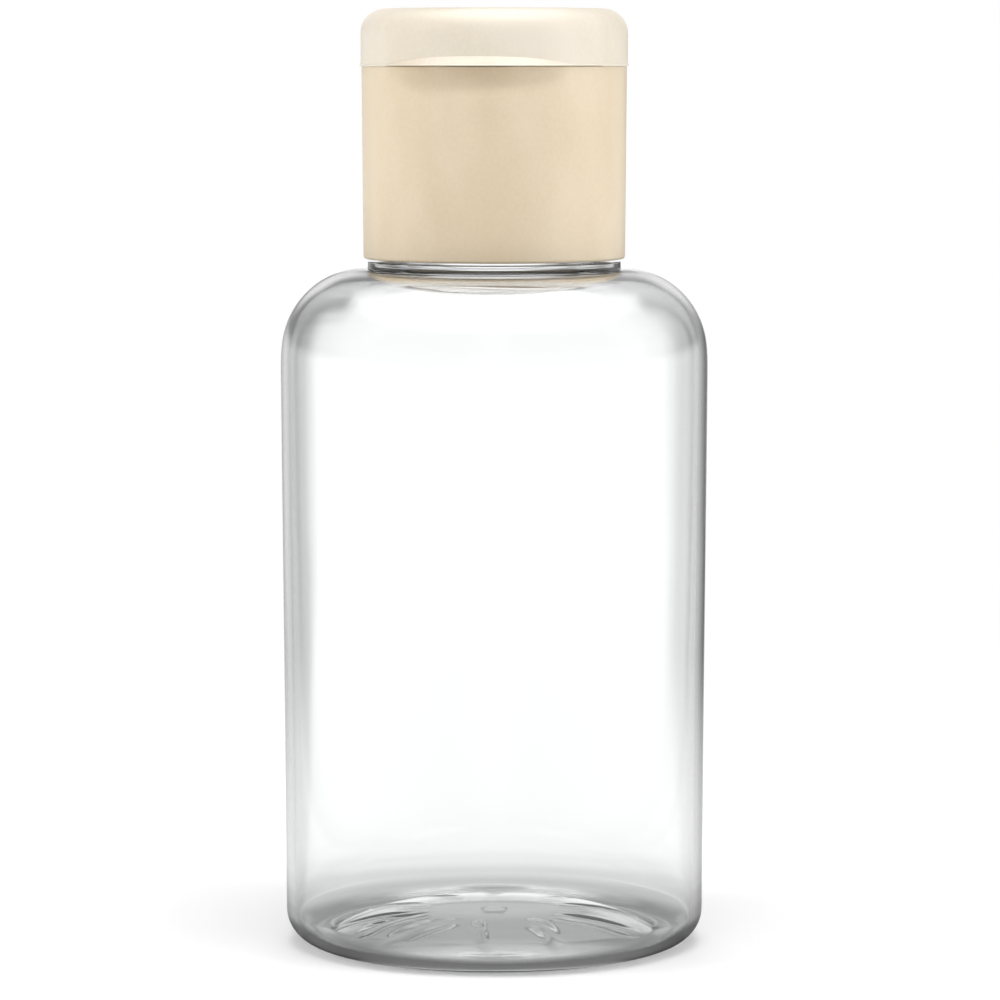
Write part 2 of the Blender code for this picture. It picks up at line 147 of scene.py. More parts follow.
class Contour:
    """A chain of (r, z) points that a piece is turned from."""

    def __init__(self, r: float, z: float) -> None:
        """Start the chain at a point."""
        self.points: list[Point] = [(r, z)]

    def _add(self, r: float, z: float) -> None:
        """Add a point, unless the chain already ends there.

        Args:
            r: Radius of the point.
            z: Height of the point.
        """
        last_r, last_z = self.points[-1]
        if hypot(r - last_r, z - last_z) > TOUCHING:
            self.points.append((r, z))

    def line(self, r: float, z: float, pitch: float = 1.0) -> None:
        """Draw a straight run.

        Args:
            r: Radius of the run's end.
            z: Height of the run's end.
            pitch: Longest step along the run.
        """
        from_r, from_z = self.points[-1]
        steps = max(1, ceil(hypot(r - from_r, z - from_z) / pitch))
        for step in range(1, steps + 1):
            share = step / steps
            self._add(from_r + (r - from_r) * share, from_z + (z - from_z) * share)

    def corner(
        self, r: float, z: float, radius: float, start: float, end: float, steps: int, pitch: float = 1.0
    ) -> None:
        """Draw a straight run to a right-angled corner and round the corner.

        Args:
            r: Radius of the sharp corner.
            z: Height of the sharp corner.
            radius: Radius of the rounding, negative for a hollow fillet.
            start: Angle of the rounding's first point in degrees.
            end: Angle of its last point in degrees, 90 before or after the first.
            steps: Number of steps along it.
            pitch: Longest step along the straight run.
        """
        angles = [radians(start + (end - start) * step / steps) for step in range(steps + 1)]
        middle_r = r - radius * round(cos(angles[0]) + cos(angles[-1]))
        middle_z = z - radius * round(sin(angles[0]) + sin(angles[-1]))
        for angle in angles:
            self.line(middle_r + radius * cos(angle), middle_z + radius * sin(angle), pitch)

    def turned(self, segments: int, closed: bool = False) -> Shell:
        """Spin the chain about Z into a shell with outward faces.

        Args:
            segments: Number of steps round the axis.
            closed: Whether the chain runs round a hole, back to its start.

        Returns:
            The new shell.
        """
        shell = bmesh.new()
        chain = [shell.verts.new((r, 0.0, z)) for r, z in self.points]
        followers = chain[1:] + chain[:1] if closed else chain[1:]
        edges = [shell.edges.new(pair) for pair in zip(chain, followers)]
        bmesh.ops.spin(
            shell, geom=chain + edges, axis=(0.0, 0.0, 1.0), angle=tau, steps=segments, use_merge=True
        )
        bmesh.ops.remove_doubles(shell, verts=shell.verts, dist=MERGE_DISTANCE)
        bmesh.ops.recalc_face_normals(shell, faces=shell.faces)
        return shell


def reshape(shell: Shell, rule: Callable[[float, float, float], Point]) -> None:
    """Move every vertex of a shell within its half plane.

    Args:
        shell: The shell to change.
        rule: Takes a vertex's radius, its angle from +X in radians and its height, and
            returns its new radius and height.
    """
    for vertex in shell.verts:
        x, y, z = vertex.co
        radius = hypot(x, y)
        if radius < MERGE_DISTANCE:
            continue
        angle = atan2(y, x) % tau
        new_radius, new_z = rule(radius, angle, z)
        vertex.co = (new_radius * x / radius, new_radius * y / radius, new_z)


def flatten(
    shell: Shell,
    plane_y: float,
    belongs: Callable[[Vector], bool],
    chord_z: float | None = None,
) -> None:
    """Cut a flat at the back of a shell and close it.

    Args:
        shell: The shell to change.
        plane_y: Where the flat lies.
        belongs: Says of a face's middle whether the cut may reach it.
        chord_z: Height of the flat's lower edge where the wall goes on below it.
    """
    if chord_z is not None:
        whole = [*shell.verts, *shell.edges, *shell.faces]
        bmesh.ops.bisect_plane(
            shell, geom=whole, dist=MERGE_DISTANCE, plane_co=(0.0, 0.0, chord_z), plane_no=(0.0, 0.0, 1.0)
        )
    faces = [face for face in shell.faces if belongs(face.calc_center_median())]
    edges = {edge for face in faces for edge in face.edges}
    verts = {vertex for face in faces for vertex in face.verts}
    near = [*verts, *edges, *faces]
    bmesh.ops.bisect_plane(
        shell, geom=near, dist=MERGE_DISTANCE, plane_co=(0.0, plane_y, 0.0), plane_no=(0.0, 1.0, 0.0)
    )
    beyond = [
        face
        for face in shell.faces
        if face.calc_center_median().y > plane_y + MERGE_DISTANCE and belongs(face.calc_center_median())
    ]
    bmesh.ops.delete(shell, geom=beyond, context="FACES")
    rim = [edge for edge in shell.edges if edge.is_boundary]
    if chord_z is not None:
        ends = {
            vertex
            for edge in rim
            for vertex in edge.verts
            if abs(vertex.co.z - chord_z) < TOUCHING and abs(vertex.co.y - plane_y) < TOUCHING
        }
        rim.append(shell.edges.new(sorted(ends, key=lambda vertex: vertex.co.x)))
    bmesh.ops.edgenet_fill(shell, edges=rim)
    bmesh.ops.recalc_face_normals(shell, faces=shell.faces)


def add_object(name: str, data: bpy.types.ID) -> bpy.types.Object:
    """Add an object to the scene.

    Args:
        name: Its name.
        data: What it shows, such as a mesh, a light or a camera.

    Returns:
        The new object.
    """
    made = bpy.data.objects.new(name, data)
    bpy.context.scene.collection.objects.link(made)
    return made


def make_mesh(name: str, shell: Shell, material: bpy.types.Material) -> bpy.types.Mesh:
    """Turn a shell, which is used up, into a mesh with a finish.

    Args:
        name: Its name.
        shell: The shell, which is freed.
        material: Its finish.

    Returns:
        The new mesh.
    """
    mesh = bpy.data.meshes.new(name)
    shell.to_mesh(mesh)
    shell.free()
    mesh.materials.append(material)
    return mesh


@dataclass(frozen=True)
class Piece:
    """What a shell is in the model: its body, or the two it bends between, its slot and CAD nodes."""

    name: str
    bodies: tuple[Body, ...]
    slot: Slot
    nodes: tuple[str, ...]

    def place(
        self,
        shell: Shell,
        material: bpy.types.Material,
        bend: tuple[Vector, Vector] | None = None,
    ) -> None:
        """Turn a shell into a piece that rides on its body.

        Args:
            shell: The shell, which is used up.
            material: Its finish.
            bend: Where a piece between two bodies starts and stops bending; the points are not used, and
                a piece given them is left unattached.
        """
        mesh = make_mesh(self.name, shell, material)
        mesh.shade_smooth()
        mesh.set_sharp_from_angle(angle=SHARP_ANGLE)
        piece = add_object(self.name, mesh)
        if bend:
            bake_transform(piece)
        else:
            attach(piece, self.bodies[0].value)
        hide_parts(*self.nodes)
        triangles = sum(len(face.vertices) - 2 for face in mesh.polygons)
        bodies = "/".join(body.value for body in self.bodies)
        LOG.info("%s: %d triangles on %s", self.name, triangles, bodies)


class Wire:
    """A socket's value, on which Python's operators add Math nodes."""

    def __init__(self, graph: Graph, socket: bpy.types.NodeSocket) -> None:
        """Keep the socket and the graph that it is in."""
        self.graph = graph
        self.socket = socket

    def __add__(self, other: Wire | float) -> Wire:
        """Add a value."""
        return self.graph.math("ADD", self, other)

    def __sub__(self, other: Wire | float) -> Wire:
        """Take a value away."""
        return self.graph.math("SUBTRACT", self, other)

    def __rsub__(self, other: float) -> Wire:
        """Take this value away from a number."""
        return self.graph.math("SUBTRACT", other, self)

    def __mul__(self, other: Wire | float) -> Wire:
        """Multiply by a value."""
        return self.graph.math("MULTIPLY", self, other)

    def __truediv__(self, other: Wire | float) -> Wire:
        """Divide by a value."""
        return self.graph.math("DIVIDE", self, other)

    def __rtruediv__(self, other: float) -> Wire:
        """Divide a number by this value."""
        return self.graph.math("DIVIDE", other, self)

    __radd__ = __add__
    __rmul__ = __mul__


class Graph:
    """A node tree that is written with Python expressions."""

    def __init__(self, tree: bpy.types.NodeTree) -> None:
        """Start from an empty tree."""
        tree.nodes.clear()
        self.tree = tree

    def node(
        self,
        kind: str,
        settings: Mapping[str, Any] | None = None,
        values: Mapping[str, Any] | None = None,
    ) -> bpy.types.Node:
        """Add any node.

        Args:
            kind: The node's type.
            settings: Its settings, which are set first. The stops of a ramp are (place,
                colour) pairs under "stops".
            values: Numbers, colours or wires for its sockets, by the socket's name, or by
                name and number where names repeat.

        Returns:
            The new node.
        """
        made = self.tree.nodes.new(kind)
        for name, setting in (settings or {}).items():
            if name == "stops":
                self._set_stops(made.color_ramp, setting)
            else:
                setattr(made, name, setting)
        for name, value in (values or {}).items():
            label, _, number = name.partition("#")
            sockets = [socket for socket in made.inputs if socket.name == label and socket.enabled]
            target = sockets[int(number or 0)]
            if isinstance(value, Wire):
                self.tree.links.new(value.socket, target)
            else:
                target.default_value = value
        return made

    @staticmethod
    def _set_stops(ramp: bpy.types.ColorRamp, stops: Sequence[tuple[float, Color]]) -> None:
        """Give a ramp its stops.

        Args:
            ramp: The ramp.
            stops: Places along it and their colours.
        """
        while len(ramp.elements) < len(stops):
            ramp.elements.new(1.0)
        for element, (place, color) in zip(ramp.elements, stops):
            element.position = place
            element.color = (*color, 1.0)

    def wire(self, node: bpy.types.Node, output: str = "") -> Wire:
        """Return a node's named output, or its first one in use."""
        usable = [socket for socket in node.outputs if socket.enabled and output in ("", socket.name)]
        return Wire(self, usable[0])

    def output(self, kind: str = "ShaderNodeOutputMaterial", **ends: bpy.types.Node) -> None:
        """Lead nodes to the tree's output, by the names of its sockets."""
        self.node(kind, None, {name: self.wire(node) for name, node in ends.items()})

    def math(self, operation: str, *values: Wire | float) -> Wire:
        """Add a Math node and return its result."""
        sockets = {f"Value#{index}": value for index, value in enumerate(values)}
        return self.wire(self.node("ShaderNodeMath", {"operation": operation}, sockets))

    def length(self, x: Wire, y: Wire) -> Wire:
        """Return the length of a flat vector."""
        return self.math("SQRT", x * x + y * y)

    def place(self, scale: Color = (1.0, 1.0, 1.0), source: str = "Object") -> Wire:
        """Return the coordinates of a point, stretched along each axis.

        Args:
            scale: The stretch along each axis.
            source: The socket that the coordinates come from.

        Returns:
            The coordinates.
        """
        coordinates = self.wire(self.node("ShaderNodeTexCoord"), source)
        if scale == (1.0, 1.0, 1.0):
            return coordinates
        return self.wire(self.node("ShaderNodeMapping", None, {"Vector": coordinates, "Scale": scale}))

    def axes(self, vector: Wire) -> tuple[Wire, Wire, Wire]:
        """Return a vector's three parts."""
        split = self.node("ShaderNodeSeparateXYZ", None, {"Vector": vector})
        return self.wire(split, "X"), self.wire(split, "Y"), self.wire(split, "Z")

    def grain(self, scale: float, vector: Wire, detail: float = 2.0, roughness: float = 0.5) -> Wire:
        """Return a noise pattern from 0 to 1.

        Args:
            scale: Waves per metre.
            vector: The coordinates that it follows.
            detail: How many finer layers it has.
            roughness: How strong the finer layers are.

        Returns:
            The pattern's value.
        """
        values = {"Vector": vector, "Scale": scale, "Detail": detail, "Roughness": roughness}
        return self.wire(self.node("ShaderNodeTexNoise", None, values), "Fac")

    def steps(self, value: Wire, start: float, end: float, low: float = 0.0, high: float = 1.0) -> Wire:
        """Return low before start and high after end, with a smooth change between.

        Args:
            value: The value that changes.
            start: Where the change starts.
            end: Where it ends.
            low: The result before it.
            high: The result after it.

        Returns:
            The result.
        """
        settings = {"interpolation_type": "SMOOTHSTEP"}
        sockets = {"Value": value, "From Min": start, "From Max": end, "To Min": low, "To Max": high}
        return self.wire(self.node("ShaderNodeMapRange", settings, sockets))

    def window(self, value: Wire, opening: Point, closing: Point) -> Wire:
        """Return 1 between two smooth changes and 0 outside them."""
        return self.steps(value, *opening) - self.steps(value, *closing)

    def blend(self, factor: Wire, first: Color, second: Color) -> Wire:
        """Mix two colours."""
        values = {"Factor": factor, "A": (*first, 1.0), "B": (*second, 1.0)}
        return self.wire(self.node("ShaderNodeMix", {"data_type": "RGBA"}, values))

    def bump(self, height: Wire, strength: float, distance: float, under: Wire | None = None) -> Wire:
        """Return a normal that a height pattern tilts.

        Args:
            height: The pattern.
            strength: How much of the tilt is used, up to 1.
            distance: The pattern's height in metres.
            under: A normal to start from.

        Returns:
            The normal.
        """
        values: dict[str, Any] = {"Height": height, "Strength": strength, "Distance": distance}
        if under:
            values["Normal"] = under
        return self.wire(self.node("ShaderNodeBump", None, values))


def new_graph(name: str) -> tuple[bpy.types.Material, Graph]:
    """Make a material with an empty node tree.

    Args:
        name: Its name.

    Returns:
        The material and its graph.
    """
    material = bpy.data.materials.new(name)
    material.use_nodes = True
    return material, Graph(material.node_tree)


@dataclass(frozen=True)
class ClearPet:
    """Clear blown polyester: glossy, a little worn, and nearly without colour of its own."""

    tint: Color = (0.985, 0.99, 0.99)
    refraction: float = 1.575
    gloss: float = 0.015
    haze: float = 0.05
    absorbed: Color = (0.62, 0.66, 0.66)
    density: float = 4.0

    def material(self) -> bpy.types.Material:
        """Return the finish as a material.

        Returns:
            The finish.
        """
        material, graph = new_graph("clear_pet")
        plain = graph.place()
        drawn = graph.place((1.0, 1.0, 0.16))
        waves = graph.grain(130.0, drawn, detail=1.0)
        ripple = graph.grain(900.0, drawn, detail=2.0, roughness=0.4)
        rubbed = graph.grain(420.0, plain, detail=4.0, roughness=0.62)
        scuffs = graph.steps(rubbed, 0.56, 0.74)
        soft = graph.bump(waves, strength=0.14, distance=0.00008)
        normal = graph.bump(ripple, strength=0.06, distance=0.00001, under=soft)
        values = {
            "Base Color": (*self.tint, 1.0),
            "Roughness": self.gloss + self.haze * scuffs,
            "IOR": self.refraction,
            "Transmission Weight": 1.0,
            "Normal": normal,
        }
        surface = graph.node("ShaderNodeBsdfPrincipled", {"distribution": "MULTI_GGX"}, values)
        values = {"Color": (*self.absorbed, 1.0), "Density": self.density}
        volume = graph.node("ShaderNodeVolumeAbsorption", None, values)
        graph.output(Surface=surface, Volume=volume)
        material.diffuse_color = (*self.tint, 0.3)
        return material


@dataclass(frozen=True)
class CreamPolypropylene:
    """Moulded cream polypropylene with a soft sheen and a fine mould texture."""

    name: str = "cream_polypropylene"
    deep: Color = (0.628, 0.515, 0.360)
    pale: Color = (0.695, 0.590, 0.440)
    gloss: float = 0.33
    spread: float = 0.14
    wear: float = 0.1

    def material(self) -> bpy.types.Material:
        """Return the finish as a material.

        Returns:
            The finish.
        """
        material, graph = new_graph(self.name)
        plain = graph.place()
        flow = graph.grain(75.0, graph.place((1.0, 1.0, 0.45)), detail=3.0, roughness=0.55)
        speck = graph.grain(2600.0, plain, detail=2.0)
        mixed = graph.steps(flow * 0.82 + speck * 0.18, 0.34, 0.66)
        color = graph.blend(mixed, self.deep, self.pale)
        texture = graph.grain(5200.0, plain, detail=3.0, roughness=0.6)
        sink = graph.grain(160.0, plain, detail=1.0)
        handled = graph.steps(graph.grain(300.0, plain, detail=4.0, roughness=0.65), 0.5, 0.78)
        soft = graph.bump(sink, strength=0.25, distance=0.00008)
        normal = graph.bump(texture, strength=0.3, distance=0.000012, under=soft)
        settings = {"distribution": "MULTI_GGX", "subsurface_method": "RANDOM_WALK"}
        values = {
            "Base Color": color,
            "Roughness": self.gloss + self.spread * (texture - 0.5) + self.wear * handled,
            "IOR": 1.49,
            "Subsurface Weight": 0.12,
            "Subsurface Radius": (1.0, 0.72, 0.42),
            "Subsurface Scale": 0.0009,
            "Normal": normal,
        }
        graph.output(Surface=graph.node("ShaderNodeBsdfPrincipled", settings, values))
        material.diffuse_color = (*self.pale, 1.0)
        return material


@dataclass(frozen=True)
class FoamLiner:
    """Matt white foam with fine closed cells."""

    pale: Color = (0.87, 0.87, 0.85)
    cell: Color = (0.78, 0.78, 0.76)
    cells_per_metre: float = 4200.0

    def material(self) -> bpy.types.Material:
        """Return the finish as a material.

        Returns:
            The finish.
        """
        material, graph = new_graph("foam_liner")
        plain = graph.place()
        values = {"Vector": plain, "Scale": self.cells_per_metre}
        cells = graph.wire(graph.node("ShaderNodeTexVoronoi", {"feature": "F1"}, values), "Distance")
        depth = graph.steps(cells, 0.1, 0.7)
        values = {
            "Base Color": graph.blend(depth, self.pale, self.cell),
            "Roughness": 0.7 + 0.15 * depth,
            "IOR": 1.45,
            "Normal": graph.bump(1.0 - depth, strength=0.5, distance=0.00004),
        }
        graph.output(Surface=graph.node("ShaderNodeBsdfPrincipled", None, values))
        material.diffuse_color = (*self.pale, 1.0)
        return material


@dataclass(frozen=True)
class Thread:
    """A right-handed thread on a round wall. Its middle is at top_z after counted_turns."""

    crest_radius: float
    root_width: float
    crest_width: float
    turns: float
    top_z: float
    lead: float = 0.003175
    fade_turns: float = 0.14
    counted_turns: float = 1.5

    def radius_at(self, wall: float, angle: float, z: float) -> float:
        """Return the wall's radius with the thread on it.

        Args:
            wall: Radius of the plain wall.
            angle: Angle from +X in radians.
            z: Height.

        Returns:
            The new radius.
        """
        flank = (self.root_width - self.crest_width) / 2
        share = 0.0
        turn = angle / tau
        while turn <= self.turns:
            away = abs(z - self.top_z - (turn - self.counted_turns) * self.lead)
            height = min(max((self.root_width / 2 - away) / flank, 0.0), 1.0)
            fade = min(1.0, turn / self.fade_turns, (self.turns - turn) / self.fade_turns)
            share = max(share, height * max(fade, 0.0))
            turn += 1.0
        return wall + (self.crest_radius - wall) * ease(share)


@dataclass
class Bottle:
    """The blown bottle with its threaded neck."""

    body_radius: float
    land_z: float
    segments: int = 240
    taper: float = 0.0004
    wall: float = 0.0009
    shoulder_radius: float = 0.009
    heel_radius: float = 0.0035
    ring_width: float = 0.0013
    push_up: float = 0.0024
    floor: float = 0.0009
    gate_radius: float = 0.0014
    gate_height: float = 0.00035
    gate_slope: float = 0.0002
    finish_height: float = 0.0177
    neck_radius: float = 0.0108
    bore_radius: float = 0.0093
    bead_radius: float = 0.0134
    bead_height: float = 0.0006
    bead_standoff: float = 0.0001
    bead_corner: float = 0.00005
    neck_fillet: float = 0.0012
    lip_round: float = 0.0003
    thread_depth: float = 0.0019
    thread_height: float = 0.00114
    thread_widths: Point = (0.0014, 0.0006)
    thread_turns: float = 1.5
    thread_run: float = 0.006
    push_up_rows: int = 36
    folds: tuple[float, ...] = (196.0, 212.0, 238.0, 271.0, 305.0, 341.0, 22.0, 58.0, 97.0, 133.0, 168.0)
    fold_start: float = 0.007
    fold_fades: Point = (0.004, 0.0035)
    fold_pivot: float = 0.012
    fold_leans: Point = (-14.0, 18.0)
    fold_widths: tuple[float, float, float] = (0.0005, 0.0008, 0.0011)
    fold_lifts: Point = (0.00016, 0.00022)
    unevenness: Point = (0.000008, 0.00003)  # outside and inside
    unevenness_waves: float = 95.0
    piece: Piece = Piece("bottle_blown", (Body.BOTTLE,), Slot.CLEAR, ("bottle",))

    @classmethod
    def measured(cls) -> Bottle:
        """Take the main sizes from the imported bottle."""
        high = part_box("bottle")[1]
        return cls(body_radius=high.x, land_z=high.z)

    @property
    def ring_outer(self) -> float:
        """Radius at which the heel meets the standing ring."""
        return self.body_radius - self.taper - self.heel_radius

    @property
    def ring_inner(self) -> float:
        """Radius at which the push-up starts."""
        return self.ring_outer - self.ring_width

    @property
    def body_height(self) -> float:
        """Height of the shoulder's top."""
        return self.land_z - self.finish_height - self.bead_height - self.bead_standoff

    def thread(self) -> Thread:
        """Return the thread on the neck."""
        crest = self.neck_radius + self.thread_height
        return Thread(crest, *self.thread_widths, self.thread_turns, self.land_z - self.thread_depth)

    def dish(self, radius: float) -> float:
        """Return the height of the push-up's underside at a radius."""
        share = min(radius / self.ring_inner, 1.0)
        return self.push_up * (1.0 - share**4)

    def shoulder(self, inset: float = 0.0, count: int = 40, fade: float = 0.25) -> list[Point]:
        """Trace the shoulder from its flat top down to the wall.

        Args:
            inset: Distance inside the outer face.
            count: Number of steps along the bend.
            fade: Share of the length, next to the wall, over which the bend fades out.

        Returns:
            Radius and height of each point.
        """
        bends = [min(1.0, (count - step - 0.5) / (count * fade)) for step in range(count)]
        turns = [0.5 * pi * sum(bends[:step]) / sum(bends) for step in range(count + 1)]
        middles = [0.5 * (first + second) for first, second in zip(turns, turns[1:])]
        pitch = self.shoulder_radius / sum(cos(middle) for middle in middles)
        points: list[Point] = []
        for step, turn in enumerate(turns):
            across = pitch * sum(cos(middle) for middle in middles[:step])
            down = pitch * sum(sin(middle) for middle in middles[:step])
            r = self.body_radius - self.shoulder_radius + across - inset * sin(turn)
            points.append((r, self.body_height - down - inset * cos(turn)))
        return points

    def contour(self) -> Contour:
        """Draw the wall from the middle of the floor, up inside, over the land and down.

        Returns:
            The section.
        """
        inner_top = self.body_height - self.wall
        heel = self.body_radius - self.taper
        count = self.push_up_rows
        rows = [self.ring_inner * (1.0 - step / count) for step in range(count)]

        chain = Contour(0.0, self.push_up + self.floor)
        for radius in reversed(rows):
            chain.line(radius, self.dish(radius) + self.floor)
        chain.corner(heel - self.wall, self.wall, self.heel_radius - self.wall, -90, 0, 12)
        inside = self.shoulder(self.wall)
        chain.line(*inside[-1], 0.0015)
        for point in reversed(inside[:-1]):
            chain.line(*point)
        chain.corner(self.bore_radius, inner_top, -self.neck_fillet, 90, 0, 8, pitch=0.0008)
        chain.corner(self.bore_radius, self.land_z, self.lip_round, 180, 90, 4, pitch=0.002)
        chain.corner(self.neck_radius, self.land_z, self.lip_round, 90, 0, 4)

        bead_top = self.body_height + self.bead_standoff + self.bead_height
        corner = self.bead_corner
        chain.line(self.neck_radius, self.land_z - self.thread_depth - self.thread_run, 0.0001)
        chain.line(self.neck_radius, bead_top, 0.001)
        chain.corner(self.bead_radius, bead_top, corner, 90, 0, 4, pitch=0.0008)
        chain.line(self.bead_radius, self.body_height + corner)
        chain.line(self.bead_radius + corner, self.body_height)
        for point in self.shoulder():
            chain.line(*point)
        chain.corner(heel, 0.0, self.heel_radius, 0, -90, 16, pitch=0.0015)
        for radius in rows:
            if radius > self.gate_radius:
                chain.line(radius, self.dish(radius))
        gate = self.dish(self.gate_radius)
        chain.line(self.gate_radius, gate)
        chain.line(self.gate_radius - self.gate_slope, gate - self.gate_height)
        chain.line(0.0, gate - self.gate_height)
        return chain

    def crease(self, radius: float, angle: float) -> float:
        """Return how far a fold in the push-up lifts its wall.

        Args:
            radius: The vertex's radius.
            angle: Its direction around the axis.

        Returns:
            The lift in metres.
        """
        rise, fall = self.fold_fades
        along = ease((radius - self.fold_start) / rise) * ease((self.ring_inner - radius) / fall)
        if along == 0.0:
            return 0.0
        lift = 0.0
        for index, middle in enumerate(self.folds):
            bent = radians(middle) + (radius - self.fold_pivot) * self.fold_leans[index % 2]
            width = self.fold_widths[index % 3] / radius
            lift += self.fold_lifts[index % 2] * exp(-((turn_from(bent, angle) / width) ** 2))
        return along * lift

    def shaped(self, radius: float, angle: float, z: float) -> Point:
        """Give a vertex the neck's thread, the push-up's folds and the wall's unevenness.

        Args:
            radius: The vertex's radius.
            angle: Its direction around the axis.
            z: Its height.

        Returns:
            Its new radius and height.
        """
        margin = 0.001
        if z > self.body_height + margin and abs(radius - self.neck_radius) < TOUCHING:
            return self.thread().radius_at(radius, angle, z), z
        if radius < self.ring_inner and z < self.push_up + self.floor + margin:
            return radius, z - self.crease(radius, angle)
        if z > self.body_height - self.shoulder_radius * 0.2:
            return radius, z
        spot = Vector((radius * cos(angle), radius * sin(angle), z * 0.5))
        inside = radius < self.body_radius - self.taper * 1.2 - self.wall * 0.6
        return radius + self.unevenness[inside] * noise.noise(spot * self.unevenness_waves), z

    def build(self, finish: ClearPet) -> None:
        """Turn the bottle and dress it.

        Args:
            finish: Its finish.
        """
        shell = self.contour().turned(self.segments)
        reshape(shell, self.shaped)
        self.piece.place(shell, finish.material())


@dataclass
class Liner:
    """The foam washer that seals the neck."""

    radius: float
    bottom: float
    top: float
    hole: float = 0.0045
    edge: float = 0.00008
    segments: int = 160
    piece: Piece = Piece("liner_washer", (Body.LINER,), Slot.FOAM, ("liner",))

    @classmethod
    def measured(cls) -> Liner:
        """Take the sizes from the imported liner."""
        low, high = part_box("liner")
        return cls(radius=high.x, bottom=low.z, top=high.z)

    def build(self, finish: FoamLiner) -> None:
        """Turn the washer and dress it.

        Args:
            finish: Its finish.
        """
        edge = self.edge
        chain = Contour(self.radius - edge, self.top)
        chain.corner(self.radius, self.top, edge, 90, 0, 3)
        chain.corner(self.radius, self.bottom, edge, 0, -90, 3)
        chain.corner(self.hole, self.bottom, edge, 270, 180, 3, pitch=0.001)
        chain.corner(self.hole, self.top, edge, 180, 90, 3)
        chain.line(self.radius - 2 * edge, self.top, 0.001)
        shell = chain.turned(self.segments, closed=True)
        self.piece.place(shell, finish.material())


